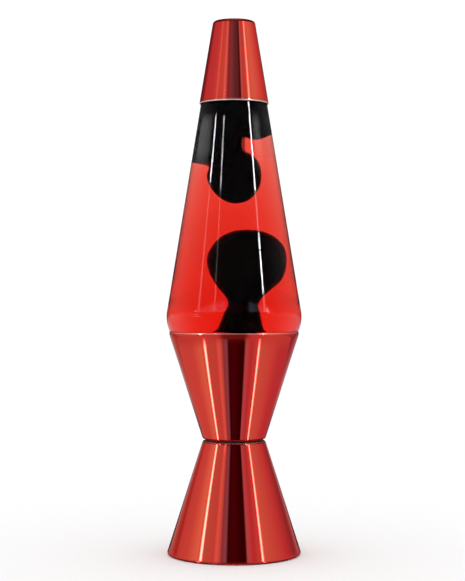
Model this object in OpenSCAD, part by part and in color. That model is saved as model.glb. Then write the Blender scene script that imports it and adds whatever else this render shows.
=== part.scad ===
// Lava lamp: a tapered glass globe of wax and dyed liquid on an hourglass base
// of two spun aluminium cones, with a small screw-in bulb below the globe.
// Millimetres, +Z up, origin on the table at the centre of the feet.

/* [Base cones] */
// Widest outer radius of the base, across its bottom bead
base_r = 46.5; // [40:0.5:60]
// Height of the lower cone, bead to waist
lower_cone_h = 78; // [60:1:100]
// Outer radius of both cones where they meet
waist_r = 21.6; // [20:0.1:26]
// Height of the upper cone, waist to lip
upper_cone_h = 74; // [62:1:100]
// Outer radius of the lip that carries the globe
lip_r = 44.7; // [38:0.1:58]
// Radius of the bend that turns the upper cone upright at its lip
lip_bend_r = 8; // [3:1:40]
// Thickness of the spun aluminium
cone_wall = 0.8; // [0.5:0.1:1.5]
// Rounding of each cone's edge at the waist
waist_edge_r = 1.6; // [1:0.1:3]
// Radius of the curled bead under the lower cone
base_bead_r = 1.2; // [0.8:0.1:2]
// Radius of the curled bead round the lip
lip_bead_r = 0.5; // [0.4:0.1:0.8]
// Thickness of the fibre spacer clamped between the cones
spacer_t = 1.2; // [0.8:0.1:3]
// How far the spacer's rim lies behind the cones' edges
spacer_inset = 2; // [1:0.1:4]

/* [Underside] */
// Thickness of the moulded bottom cover
cover_t = 2; // [1.5:0.1:4]
// Height of the cover's skirt inside the cone
cover_skirt_h = 6; // [3:0.5:12]
// Thickness of the cover's skirt
cover_skirt_t = 1.2; // [0.8:0.1:2]
// Height of the cover's lower face above the bead's lowest line
cover_recess = 1; // [0.5:0.1:3]
// Number of vent slots in the cover
vents = 8; // [4:1:12]
// Width of a vent slot
vent_w = 4.4; // [3:0.1:6]
// Length of a vent slot
vent_l = 12; // [8:1:16]
// Distance from the axis to the middle of a vent slot
vent_at = 18; // [16:0.5:20]
// Number of rubber feet
feet = 4; // [3:1:6]
// Radius of a foot
foot_r = 5; // [3:0.5:7]
// How far the feet stand out below the bead
foot_proud = 0.5; // [0.3:0.1:3]
// Depth of the socket that locates each foot in the cover
foot_socket = 0.6; // [0.3:0.1:1.2]

/* [Cord gland] */
// Height of the gland's centre above the table
gland_z = 18; // [15:0.5:26]
// Radius of the hole that the mains cord passes through
gland_bore_r = 2.9; // [2:0.1:4]
// Radius of the gland's barrel
gland_r = 5; // [4.5:0.1:6]
// Radius of the gland's outer flange
gland_flange_r = 7.5; // [6.5:0.1:9]
// Thickness of the gland's outer flange
gland_flange_t = 2; // [1:0.1:3]
// Length of the gland's barrel inside the cone's wall
gland_inner_l = 11; // [6:0.5:14]

/* [Globe] */
// Height of the glass that shows, lip of the base to rim of the cap
globe_shown_h = 157.5; // [120:0.5:200]
// Radius lost for each millimetre of height up the glass
taper = 0.1635; // [0.12:0.0001:0.19]
// Depth of the globe's foot below the lip
globe_foot_h = 16; // [10:0.5:18]
// Radius gained for each millimetre of height on the globe's underside
under_slope = 0.33; // [0.2:0.01:0.4]
// Radius of the round belly above the lip
belly_round = 22; // [10:1:28]
// How far the glass's lower corner lies inside the lip's outside
seat_inset = 0.2; // [0:0.1:1]
// Rounding of the globe's heel
heel_round = 5; // [2:0.5:8]
// Width of the ledge that rests on the lip
ledge_w = 1.4; // [1.2:0.1:2.4]
// Thickness of the glass
glass_wall = 2.5; // [1.5:0.1:4]
// Height of the push-up under the globe
punt_h = 3; // [1:0.5:6]
// Outer radius of the neck
neck_r = 12.4; // [11:0.1:14]
// Height of the tapered glass hidden in the cap
hidden_taper_h = 26; // [10:0.5:34]
// Height from the end of the taper to the mouth
neck_h = 17.5; // [12:0.5:24]
// Outer radius of the moulded ring that the crown grips
finish_r = 13.3; // [12:0.1:15]
// Height of that ring
finish_h = 4; // [3:0.1:6]
// Height of the liquid's surface below the mouth
ullage = 9; // [4:0.5:14]

/* [Crown] */
// Thickness of the crown's tinplate
crown_wall = 0.3; // [0.2:0.05:0.6]
// Height of the crown
crown_h = 6; // [5:0.1:8]
// Thickness of the soft liner under the crown
liner_t = 0.8; // [0.5:0.1:1.5]
// How far the crown's skirt flares below the glass ring
crown_flare = 0.7; // [0.2:0.1:1]

/* [Cap] */
// Height of the cap
cap_h = 57; // [50:0.5:80]
// Outer radius of the cap's rim
cap_rim_r = 24; // [22.5:0.1:28]
// Radius lost for each millimetre of height up the cap
cap_taper = 0.1675; // [0.12:0.0005:0.2]
// Thickness of the cap
cap_wall = 0.65; // [0.4:0.05:1]
// Rounding of the cap's top edge
cap_edge_r = 2.2; // [1:0.1:4]

/* [Wax] */
// Radius of the rising head of the wax column
head_r = 21; // [12:0.5:26]
// Height of the head's widest level above the lip
head_z = 46; // [30:1:70]
// Height from the head's widest level to its crown
head_top_h = 24; // [15:1:28]
// Height from the head's widest level down to the column's throat
head_drop_h = 27; // [18:1:28]
// Radius of the column's throat
throat_r = 7.5; // [5:0.5:12]
// Radius of the pool that the column stands on
pool_r = 25; // [15:0.5:26]
// Offset of the column's head from the axis, to the right
head_x = 7; // [0:0.5:9]
// Offset of the column's foot from the axis, to the right
foot_x = 3; // [0:0.5:9]
// Radius of the hanging drop
drop_r = 14.7; // [8:0.1:18]
// Half height of the hanging drop
drop_half_h = 19.5; // [12:0.5:22]
// Height of the drop's centre below the cap's rim
drop_below_rim = 50; // [40:1:60]
// Radius of the neck that the drop hangs by
drop_neck_r = 9; // [5:0.5:12]
// Depth of the wax ceiling below the cap's rim
ceiling_below_rim = 25; // [15:1:30]
// Radius of the lobe that hangs on the left
lobe_r = 17; // [10:0.5:18]
// Offset of that lobe from the axis
lobe_x = 13; // [8:0.5:16]
// Liquid film between the wax and the glass
wax_film = 0.8; // [0.5:0.1:2]
// Height of the wax in the neck above the cap's rim
wax_above_rim = 22; // [10:1:25]

/* [Heating coil] */
// Radius of the ring that the coil is bent into
coil_ring_r = 31; // [28:0.5:40]
// Outer radius of the coil itself
coil_r = 3.2; // [2:0.1:5]
// Radius of the coil's wire
coil_wire_r = 0.5; // [0.3:0.1:0.8]
// Number of turns round the ring
coil_turns = 36; // [20:1:48]

/* [Lampholder] */
// Outer radius of the holder's barrel
holder_r = 13.2; // [12:0.1:15]
// Height of the holder's rim above the ring nut
holder_rim_h = 2; // [1:0.1:4]
// Depth of the bulb's screw shell below the holder's rim
bulb_recess = 3.5; // [2.5:0.1:5]
// Radius of the flange under the waist
holder_flange_r = 17; // [15.5:0.1:19]
// Thickness of that flange
holder_flange_t = 2.4; // [1.5:0.1:4]
// Thickness of the holder's floor
holder_floor_t = 4; // [3:0.1:6]
// Outer radius of the ring nut that clamps the cones
ring_nut_r = 17.5; // [16:0.1:19.5]
// Height of the ring nut
ring_nut_h = 5; // [3:0.1:8]
// Number of grip notches round the ring nut
nut_notches = 12; // [6:1:16]
// Length of the brass sleeve that the bulb screws into
sleeve_l = 17; // [14:0.5:20]
// Thickness of the brass sleeve
sleeve_t = 0.4; // [0.3:0.05:0.8]
// Thickness of the sprung centre contact
contact_t = 0.6; // [0.4:0.05:1]
// Radius of a lead, over its insulation
lead_r = 1.1; // [0.8:0.1:1.4]

/* [Bulb] */
// Radius of the bulb's screw shell over its thread
bulb_screw_r = 8.3; // [8:0.05:8.7]
// Length of the screw shell
bulb_screw_l = 16.5; // [12:0.5:20]
// Widest radius of the bulb's glass
bulb_r = 17.5; // [14:0.1:17.5]
// Height of the bulb, tip to crown
bulb_h = 58.7; // [50:0.1:60]
// Thickness of the bulb's glass
bulb_wall = 0.6; // [0.4:0.1:1]
// Height of the glass insulator at the tip
insulator_h = 3.4; // [2.5:0.1:4]
// Thickness of the solder contact
tip_t = 0.8; // [0.5:0.1:1.2]
// Radius of the solder contact
tip_r = 3.2; // [2:0.1:4]

/* [Fits] */
// Gap between the globe's ledge and the lip, and between pieces of wax
rest_gap = 0.3; // [0.2:0.05:0.6]
// Gap between the cap's rim and the glass
cap_gap = 0.45; // [0.4:0.05:0.8]
// Gap round pieces that are fixed in one another
fixed_gap = 0.1; // [0.05:0.01:0.2]
// Running gap between the bulb's thread and the sleeve
thread_gap = 0.06; // [0.03:0.01:0.1]
// Gap between the holder's barrel and its holes
barrel_gap = 0.3; // [0.1:0.05:0.6]

/* [Hidden] */
$fn = 96;

arc_step = 9;           // degrees of arc to each straight of an outline
big = 400;              // larger than the lamp, for cutting
cut = 1;                // overrun of a cutting tool past a face

// Levels, from the table up
rim_z = foot_proud;
waist_low_z = rim_z + lower_cone_h;
waist_high_z = waist_low_z + spacer_t;
lip_z = waist_high_z + upper_cone_h;
cap_rim_z = lip_z + globe_shown_h;
cap_top_z = cap_rim_z + cap_h;
globe_foot_z = lip_z - globe_foot_h;
ledge_z = lip_z + rest_gap;
taper_top_z = cap_rim_z + hidden_taper_h;
mouth_z = taper_top_z + neck_h;
fill_z = mouth_z - ullage;
cover_z = rim_z + cover_recess;
nut_z = waist_high_z + cone_wall + fixed_gap;
holder_top_z = nut_z + ring_nut_h + holder_rim_h;
screw_top_z = holder_top_z - bulb_recess;
screw_z = screw_top_z - bulb_screw_l;
insulator_z = screw_z - insulator_h;
bulb_tip_z = insulator_z - tip_t;
bulb_top_z = bulb_tip_z + bulb_h;
contact_rise = 2.2;     // height of the contact's tongue above the holder's floor
holder_floor_z = bulb_tip_z - fixed_gap - contact_t - contact_rise;
holder_low_z = holder_floor_z - holder_floor_t;

// Radii that follow from others
hole_r = holder_r + barrel_gap;
spacer_r = waist_r - spacer_inset;
glass_rim_r = cap_rim_r - (cap_wall + cap_gap) / cos(atan(taper));
sleeve_r = bulb_screw_r + thread_gap;
holder_bore_r = sleeve_r + sleeve_t + fixed_gap;
lower_slope = (base_r - waist_r) / lower_cone_h;
lower_lean = atan(lower_slope);

// Radius of the tapered glass at a height
function glass_r(z) = glass_rim_r + taper * (cap_rim_z - z);
// Outer radius of the lower cone at a height
function lower_cone_r(z) = base_r - lower_slope * (z - rim_z);

function unit(v) = v / norm(v);
function left_of(v) = [-v.y, v.x];
function flat(p) = [p.x, p.y];
function shorter_turn(a) = a > 180 ? a - 360 : a < -180 ? a + 360 : a;

// Points of the arc that rounds corner q, between its neighbours p and s
function corner_arc(p, q, s, r) =
    let (
        back = unit(p - q),
        on = unit(s - q),
        half = acos(back * on) / 2,
        centre = q + unit(back + on) * r / sin(half),
        first = q + back * r / tan(half) - centre,
        last = q + on * r / tan(half) - centre,
        from = atan2(first.y, first.x),
        turn = shorter_turn(atan2(last.y, last.x) - from),
        steps = max(2, ceil(abs(turn) / arc_step))
    )
    [for (i = [0:steps]) centre + r * [cos(from + turn * i / steps), sin(from + turn * i / steps)]];

// An outline from corners [radius, height, rounding]; the two ends stay as they are
function rounded(corners) =
    let (last = len(corners) - 1)
    [for (i = [0:last])
        each (i == 0 || i == last || corners[i][2] == 0)
            ? [flat(corners[i])]
            : corner_arc(flat(corners[i - 1]), flat(corners[i]), flat(corners[i + 1]), corners[i][2])];

// An outline moved sideways by d, to the left of its direction, with mitred corners
function shifted(path, d) =
    let (last = len(path) - 1)
    [for (i = [0:last])
        let (
            on = unit(path[min(i + 1, last)] - path[min(i, last - 1)]),
            back = unit(path[max(i, 1)] - path[max(i - 1, 0)]),
            mitre = unit(left_of(on) + left_of(back))
        )
        path[i] + mitre * d / (mitre * left_of(on))];

function backwards(path) = [for (i = [len(path) - 1:-1:0]) path[i]];

// A wall of even thickness along an outline, turned about the axis
module spun(path, wall) {
    rotate_extrude()
        polygon(concat(path, backwards(shifted(path, wall))));
}

// A tube with two closed ends, its outer radius r1 below and r2 above
module tube(z, h, outer, inner) {
    translate([0, 0, z])
        difference() {
            cylinder(h = h, r = outer);
            translate([0, 0, -cut])
                cylinder(h = h + 2 * cut, r = inner);
        }
}

// Points of a closed ring of wire round p, with its plane across the direction d
function ring_points(p, d, r, sides) =
    let (
        along = unit(d),
        reference = abs(along.z) < 0.9 ? [0, 0, 1] : [1, 0, 0],
        across = unit(cross(along, reference)),
        up = cross(along, across)
    )
    [for (i = [0:sides - 1]) p + r * (cos(360 * i / sides) * across + sin(360 * i / sides) * up)];

// A round wire along a list of points; closed joins its end to its start
module wire(route, r, sides, closed = false) {
    n = len(route);
    rings = closed ? n : n - 1;
    points = [for (i = [0:n - 1])
        each ring_points(
            route[i],
            route[closed ? (i + 1) % n : min(i + 1, n - 1)]
                - route[closed ? (i + n - 1) % n : max(i - 1, 0)],
            r, sides)];
    sides_faces = [for (i = [0:rings - 1], k = [0:sides - 1])
        let (
            here = i * sides,
            there = ((i + 1) % n) * sides,
            next = (k + 1) % sides
        )
        each [[here + k, here + next, there + next], [here + k, there + next, there + k]]];
    ends = closed ? [] : [
        [for (k = [sides - 1:-1:0]) k],
        [for (k = [0:sides - 1]) (n - 1) * sides + k]];
    polyhedron(points = points, faces = concat(sides_faces, ends), convexity = 10);
}

// Points of a smooth curve through hand-placed points
function spline_point(a, b, c, d, t) =
    0.5 * ((2 * b) + (c - a) * t + (2 * a - 5 * b + 4 * c - d) * t * t
        + (3 * b - a - 3 * c + d) * t * t * t);
function smooth(route, steps) =
    let (last = len(route) - 1)
    concat(
        [for (i = [0:last - 1], k = [0:steps - 1])
            spline_point(route[max(i - 1, 0)], route[i], route[i + 1], route[min(i + 2, last)], k / steps)],
        [route[last]]);

// ---- Base ----

lower_cone_path = rounded([
    [hole_r, waist_low_z, 0],
    [waist_r, waist_low_z, waist_edge_r],
    [lower_cone_r(rim_z + base_bead_r), rim_z + base_bead_r, 0]]);

lip_bend_turn = atan((lip_r - waist_r) / upper_cone_h);
upper_cone_path = rounded([
    [hole_r, waist_high_z, 0],
    [waist_r, waist_high_z, waist_edge_r],
    [lip_r, lip_z - 2 * lip_bead_r - lip_bend_r * tan(lip_bend_turn / 2), lip_bend_r],
    [lip_r, lip_z - lip_bead_r, 0]]);

foot_at = lower_cone_r(rim_z) - base_bead_r * 2 - cover_skirt_t - foot_r - 1;
cover_r = lower_cone_r(cover_z + cover_t + cover_skirt_h) - cone_wall / cos(lower_lean) - rest_gap;

module each_foot() {
    for (i = [0:feet - 1])
        rotate([0, 0, 360 * (i + 0.5) / feet])
            translate([foot_at, 0, 0])
                children();
}

module rubber_feet() {
    color("#1a1a1a")
        each_foot()
            cylinder(h = cover_z + foot_socket - fixed_gap, r = foot_r);
}

module vent_slot() {
    translate([vent_at - vent_l / 2, -vent_w / 2, cover_z - cut])
        cube([vent_l, vent_w, cover_t + 2 * cut]);
}

module bottom_cover() {
    color("#202022")
        difference() {
            union() {
                translate([0, 0, cover_z])
                    cylinder(h = cover_t, r = cover_r);
                tube(cover_z + cover_t - fixed_gap, cover_skirt_h + fixed_gap, cover_r, cover_r - cover_skirt_t);
            }
            each_foot()
                translate([0, 0, cover_z - cut])
                    cylinder(h = foot_socket + cut, r = foot_r + fixed_gap);
            for (i = [0:vents - 1])
                rotate([0, 0, 360 * i / vents])
                    vent_slot();
        }
}

// Puts its children at the gland, with +Z out through the wall of the cone
module at_gland() {
    translate([0, lower_cone_r(gland_z), gland_z])
        rotate([-90 + lower_lean, 0, 0])
            children();
}

module lower_cone() {
    color("#c4161c")
        difference() {
            union() {
                spun(lower_cone_path, -cone_wall);
                rotate_extrude()
                    translate([base_r - base_bead_r, rim_z + base_bead_r])
                        circle(r = base_bead_r);
            }
            at_gland()
                translate([0, 0, -3 * cone_wall - cut])
                    cylinder(h = 4 * cone_wall + 2 * cut, r = gland_r + fixed_gap);
        }
}

module cord_gland() {
    color("#161616")
        at_gland()
            difference() {
                union() {
                    translate([0, 0, -gland_inner_l])
                        cylinder(h = gland_inner_l + fixed_gap + gland_flange_t, r = gland_r);
                    translate([0, 0, fixed_gap])
                        cylinder(h = gland_flange_t, r = gland_flange_r);
                }
                translate([0, 0, -gland_inner_l - cut])
                    cylinder(h = gland_inner_l + gland_flange_t + 3 * cut, r = gland_bore_r);
            }
}

module waist_spacer() {
    color("#141414")
        tube(waist_low_z + fixed_gap / 2, spacer_t - fixed_gap, spacer_r, hole_r);
}

module upper_cone() {
    color("#c4161c")
        union() {
            spun(upper_cone_path, cone_wall);
            rotate_extrude()
                translate([lip_r - lip_bead_r, lip_z - lip_bead_r])
                    circle(r = lip_bead_r);
        }
}

// ---- Lampholder ----

notch_r = 1.8;
notch_depth = 1;
module ring_nut() {
    color("#1d1d1f")
        difference() {
            tube(nut_z, ring_nut_h, ring_nut_r, holder_r + fixed_gap);
            for (i = [0:nut_notches - 1])
                rotate([0, 0, 360 * i / nut_notches])
                    translate([ring_nut_r + notch_r - notch_depth, 0, nut_z - cut])
                        cylinder(h = ring_nut_h + 2 * cut, r = notch_r);
        }
}

module lampholder_body() {
    color("#1b1a19")
        difference() {
            union() {
                translate([0, 0, holder_low_z])
                    cylinder(h = holder_top_z - holder_low_z, r = holder_r);
                translate([0, 0, waist_low_z - cone_wall - holder_flange_t - fixed_gap])
                    cylinder(h = holder_flange_t, r = holder_flange_r);
            }
            translate([0, 0, holder_floor_z])
                cylinder(h = big, r = holder_bore_r);
            for (side = [-1, 1])
                translate([side * terminal_x, 0, holder_low_z - cut])
                    cylinder(h = screw_l + 2 * cut, r = screw_r + fixed_gap);
        }
}

module lampholder_sleeve() {
    color("#c9a24a")
        tube(holder_floor_z + sleeve_low, sleeve_l, sleeve_r + sleeve_t, sleeve_r);
}
sleeve_low = 3;         // the sleeve's lower end, above the holder's floor

// A leaf with one end on the holder's floor and a tongue raised under the bulb's tip
contact_half_l = 6;
contact_half_w = 2.5;
contact_foot_l = 2.5;
contact_bend_l = 1.5;
module lampholder_contact() {
    tongue_z = contact_rise - fixed_gap / 2;
    color("#c9a24a")
        translate([0, contact_half_w, holder_floor_z + fixed_gap / 2])
            rotate([90, 0, 0])
                linear_extrude(2 * contact_half_w)
                    polygon([
                        [-contact_half_l, 0],
                        [-contact_half_l + contact_foot_l, 0],
                        [-contact_half_l + contact_foot_l + contact_bend_l, tongue_z],
                        [contact_half_l - contact_foot_l, tongue_z],
                        [contact_half_l - contact_foot_l, tongue_z + contact_t],
                        [-contact_half_l + contact_foot_l + contact_bend_l * 0.7, tongue_z + contact_t],
                        [-contact_half_l + contact_foot_l - contact_bend_l * 0.3, contact_t],
                        [-contact_half_l, contact_t]]);
}

// Two brass plates under the holder, each held by a screw that also grips a lead
terminal_x = 8;
plate_t = 0.8;
plate_half_w = 3.5;
screw_r = 1.5;
screw_head_r = 2.8;
screw_head_h = 1.8;
screw_l = 2.5;          // thread above the plate, into the holder's floor
terminal_low_z = holder_low_z - fixed_gap - plate_t;
module each_terminal() {
    for (side = [-1, 1])
        translate([side * terminal_x, 0, 0])
            children();
}

module terminal_plates() {
    color("#d0aa55")
        each_terminal()
            difference() {
                translate([-plate_half_w, -plate_half_w - 1, terminal_low_z])
                    cube([2 * plate_half_w, 2 * plate_half_w + 2, plate_t]);
                translate([0, 0, terminal_low_z - cut])
                    cylinder(h = plate_t + 2 * cut, r = screw_r + fixed_gap);
            }
}

module terminal_screws() {
    color("#b9bcc0")
        each_terminal()
            difference() {
                union() {
                    translate([0, 0, terminal_low_z - fixed_gap - screw_head_h])
                        cylinder(h = screw_head_h, r = screw_head_r);
                    translate([0, 0, terminal_low_z - 2 * fixed_gap])
                        cylinder(h = plate_t + screw_l + 2 * fixed_gap, r = screw_r);
                }
                translate([-screw_head_r - cut, -0.4, terminal_low_z - fixed_gap - screw_head_h - cut])
                    cube([2 * (screw_head_r + cut), 0.8, cut + 0.9]);
            }
}

// A lead runs from beside its terminal screw, down the back of the cone, to the connector
// that joins it to the mains cord, just inside the gland
crimp_r = 1.9;
crimp_l = 8;
crimp_x = 2.4;
gland_inner_y = lower_cone_r(gland_z) - gland_inner_l * cos(lower_lean);
gland_inner_z = gland_z - gland_inner_l * sin(lower_lean);
crimp_y = gland_inner_y - crimp_l - 4;
lead_top_z = terminal_low_z - lead_r - fixed_gap;
function lead_route(side) = [
    [side * terminal_x, -screw_head_r - 2.4, lead_top_z],
    [side * (terminal_x + 3), -screw_head_r, lead_top_z],
    [side * (terminal_x + 5), 2, lead_top_z - 1],
    [side * (terminal_x + 4), 7, lead_top_z - 8],
    [side * terminal_x, 10, lead_top_z - 19],
    [side * 5, 11, lead_top_z - 29],
    [side * (crimp_x + 0.6), crimp_y - 5, gland_inner_z + 2.6],
    [side * crimp_x, crimp_y - 2, gland_inner_z + 0.2],
    [side * crimp_x, crimp_y - fixed_gap, gland_inner_z]];

module lead_live() {
    color("#20201f")
        wire(smooth(lead_route(1), 4), lead_r, 10);
}

module lead_neutral() {
    color("#e6e4de")
        wire(smooth(lead_route(-1), 4), lead_r, 10);
}

module crimp_connectors() {
    color("#2a4f9c")
        for (side = [-1, 1])
            translate([side * crimp_x, crimp_y, gland_inner_z])
                rotate([-90, 0, 0])
                    cylinder(h = crimp_l, r = crimp_r);
}

// ---- Bulb ----

screw_wall = 0.35;
bulb_neck_r = bulb_screw_r - screw_wall - fixed_gap;

module bulb_tip() {
    color("#b8b6ae")
        translate([0, 0, bulb_tip_z])
            cylinder(h = tip_t, r = tip_r);
}

module bulb_insulator() {
    color("#17171a")
        translate([0, 0, insulator_z + fixed_gap / 2])
            cylinder(h = insulator_h - fixed_gap, r1 = tip_r + 1.2, r2 = bulb_screw_r - 1);
}

module bulb_screw_shell() {
    color("#b79a5c")
        spun([
            [tip_r + 2, screw_z],
            [bulb_screw_r - 1.2, screw_z],
            [bulb_screw_r, screw_z + 1.2],
            [bulb_screw_r, screw_top_z]], screw_wall);
}

// The envelope's outline, from inside the screw shell to the crown on the axis
bulb_glass_path = rounded([
    [bulb_neck_r, screw_top_z - 8, 0],
    [bulb_neck_r, screw_top_z + 4, 6],
    [bulb_r, screw_top_z + 15, 14],
    [bulb_r, bulb_top_z, bulb_r * 0.86],
    [0, bulb_top_z, 0]]);

module bulb_glass() {
    color("#eef3f6", 0.35)
        spun(bulb_glass_path, bulb_wall);
}

stem_z = screw_top_z - 7;
stem_top_z = screw_top_z + 9;
stem_r = 2;
module bulb_stem() {
    color("#dfe9ee", 0.5)
        rotate_extrude()
            polygon([
                [0, stem_z],
                [bulb_neck_r - bulb_wall - fixed_gap, stem_z],
                [bulb_neck_r - bulb_wall - fixed_gap, stem_z + 1],
                [stem_r + 0.6, stem_z + 5],
                [stem_r, stem_top_z - 1],
                [stem_r + 0.5, stem_top_z],
                [0, stem_top_z]]);
}

// The filament hangs in a shallow arc between two wires that stand on the stem
filament_z = stem_top_z + 11;
filament_half_l = 8;
filament_sag = 1.6;
filament_r = 0.35;
support_r = 0.3;
module bulb_support_wires() {
    color("#9b9da0")
        for (side = [-1, 1])
            wire(smooth([
                [side * 1.2, 0, stem_top_z + fixed_gap],
                [side * 2.2, 0, stem_top_z + 4],
                [side * 5.4, 0, stem_top_z + 8],
                [side * filament_half_l, 0, filament_z - filament_r - fixed_gap]], 3), support_r, 8);
}

module bulb_filament() {
    color("#6d6a66")
        wire([for (i = [-8:8])
            let (t = i / 8)
            [filament_half_l * t, 0, filament_z + filament_sag * (1 - t * t)]], filament_r, 8);
}

// ---- Globe ----

under_corner_r = lip_r - seat_inset;
belly_z = ledge_z + (glass_r(ledge_z) - under_corner_r) / (taper + under_slope);
foot_side_r = under_corner_r - ledge_w;
heel_r = foot_side_r - under_slope * globe_foot_h;

globe_path = rounded([
    [0, globe_foot_z + punt_h, 0],
    [heel_r * 0.5, globe_foot_z + punt_h, 20],
    [heel_r * 0.84, globe_foot_z, 3],
    [heel_r, globe_foot_z, heel_round],
    [foot_side_r, ledge_z, 0.6],
    [under_corner_r, ledge_z, 0.5],
    [glass_r(belly_z), belly_z, belly_round],
    [glass_r(taper_top_z), taper_top_z, 6],
    [neck_r, taper_top_z + 5, 3],
    [neck_r, mouth_z, 0]]);

module globe_glass() {
    color("#f4f6f8", 0.25)
        union() {
            spun(globe_path, glass_wall);
            rotate_extrude()
                polygon(rounded([
                    [neck_r - glass_wall / 2, mouth_z, 0],
                    [finish_r, mouth_z, 1],
                    [finish_r, mouth_z - finish_h, 1],
                    [neck_r - glass_wall / 2, mouth_z - finish_h - 1, 0]]));
        }
}

// All that lies inside the glass, kept clear of it by a gap, up to a level
module globe_inside(gap, top_z) {
    intersection() {
        rotate_extrude()
            polygon(concat(shifted(globe_path, glass_wall + gap), [[0, mouth_z]]));
        translate([0, 0, -cut])
            cylinder(h = top_z + cut, r = big);
    }
}

module crown() {
    skirt_r = finish_r + fixed_gap;
    top_z = mouth_z + liner_t + 2 * fixed_gap;
    color("#c9ccd0")
        spun(rounded([
            [0, top_z, 0],
            [skirt_r, top_z, 1.2],
            [skirt_r + crown_flare, top_z - crown_h + crown_wall, 0]]), crown_wall);
}

module crown_liner() {
    color("#e9e4d6")
        translate([0, 0, mouth_z + fixed_gap])
            cylinder(h = liner_t, r = finish_r - 0.8);
}

coil_z = globe_foot_z + punt_h + glass_wall + coil_r + 0.5;
module heating_coil() {
    steps = 11;
    color("#aeb2b6")
        wire([for (i = [0:coil_turns * steps - 1])
            let (
                round_ring = 360 * i / (coil_turns * steps),
                round_coil = 360 * i / steps,
                out = coil_ring_r + (coil_r - coil_wire_r) * cos(round_coil)
            )
            [out * cos(round_ring), out * sin(round_ring),
                coil_z + (coil_r - coil_wire_r) * sin(round_coil)]],
            coil_wire_r, 6, closed = true);
}

// ---- Wax and liquid ----

// Each wax shape is drawn grown by a margin, so that the liquid's hollow can be the same shape
head_level = lip_z + head_z;
throat_z = head_level - head_drop_h;
pool_z = globe_foot_z + punt_h + glass_wall + wax_film;
pool_edge_h = 2;        // height of the pool's upright rim
drop_level = cap_rim_z - drop_below_rim;
ceiling_z = cap_rim_z - ceiling_below_rim;
drop_parts_z = drop_level + drop_half_h * 0.7;

module wax_head_shape(grow) {
    translate([head_x, 0, 0])
        rotate_extrude()
            polygon(concat(
                [[0, throat_z - grow], [throat_r + grow, throat_z - grow], [throat_r + grow, throat_z]],
                [for (i = [1:9])
                    let (t = i / 10)
                    [throat_r + grow + (head_r - throat_r) * (3 * t * t - 2 * t * t * t),
                        throat_z + head_drop_h * t]],
                [for (a = [0:arc_step:90])
                    [(head_r + grow) * cos(a), head_level + (head_top_h + grow) * sin(a)]]));
}

module wax_pool_shape(grow) {
    pool_top_z = throat_z - rest_gap;
    foot_h = pool_top_z - pool_z - pool_edge_h;
    intersection() {
        globe_inside(wax_film - grow, fill_z);
        translate([foot_x, 0, 0])
            rotate_extrude()
                polygon(concat(
                    [[0, pool_z - grow], [pool_r + grow, pool_z - grow], [pool_r + grow, pool_z + pool_edge_h]],
                    [for (i = [1:10])
                        let (t = i / 10)
                        [throat_r + grow + (pool_r - throat_r) * (1 - t) * (1 - t),
                            pool_z + pool_edge_h + foot_h * t]],
                    [[0, pool_top_z]]));
    }
}

module wax_ceiling_shape(grow) {
    difference() {
        union() {
            intersection() {
                globe_inside(wax_film - grow, cap_rim_z + wax_above_rim + grow);
                union() {
                    translate([0, 0, ceiling_z - grow])
                        cylinder(h = big, r = big);
                    translate([-lobe_x, 0, ceiling_z])
                        sphere(r = lobe_r + grow);
                }
            }
            translate([0, 0, drop_parts_z])
                cylinder(h = ceiling_z - drop_parts_z, r = drop_neck_r + grow);
        }
        wax_drop_shape(rest_gap - grow);
    }
}

// The drop's top is flat where it parts from the ceiling
module wax_drop_shape(grow) {
    intersection() {
        translate([0, 0, drop_level])
            rotate_extrude()
                polygon([for (a = [-90:arc_step:90])
                    [(drop_r + grow) * cos(a), (drop_half_h + grow) * sin(a)]]);
        translate([0, 0, drop_parts_z + grow - big])
            cylinder(h = big, r = big);
    }
}

module wax_column_head() {
    color("#0a0a0a")
        wax_head_shape(0);
}

module wax_pool() {
    color("#0a0a0a")
        wax_pool_shape(0);
}

module wax_ceiling() {
    color("#0a0a0a")
        wax_ceiling_shape(0);
}

module wax_drop() {
    color("#0a0a0a")
        wax_drop_shape(0);
}

module liquid() {
    color("#e8261c", 0.6)
        difference() {
            globe_inside(fixed_gap, fill_z);
            wax_head_shape(fixed_gap);
            wax_pool_shape(fixed_gap);
            wax_ceiling_shape(fixed_gap);
            wax_drop_shape(fixed_gap);
            rotate_extrude()
                translate([coil_ring_r, coil_z])
                    circle(r = coil_r + fixed_gap);
        }
}

// ---- Cap ----

module cap() {
    top_r = cap_rim_r - cap_taper * cap_h;
    color("#c4161c")
        spun(rounded([
            [0, cap_top_z, 0],
            [top_r, cap_top_z, cap_edge_r],
            [cap_rim_r, cap_rim_z, 0]]), -cap_wall);
}

rubber_feet();
bottom_cover();
lower_cone();
cord_gland();
waist_spacer();
upper_cone();
ring_nut();
lampholder_body();
lampholder_sleeve();
lampholder_contact();
terminal_plates();
terminal_screws();
lead_live();
lead_neutral();
crimp_connectors();
bulb_tip();
bulb_insulator();
bulb_screw_shell();
bulb_glass();
bulb_stem();
bulb_support_wires();
bulb_filament();
globe_glass();
crown();
crown_liner();
liquid();
heating_coil();
wax_pool();
wax_column_head();
wax_ceiling();
wax_drop();
cap();
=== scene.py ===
"""The looks of a lava lamp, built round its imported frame.

Run as a script. Every new piece is a surface worked out with numpy: a profile turned about the
lamp's axis, or a grid of points given by a formula. Metres, +Z up, front at -Y.
"""

import math

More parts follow.
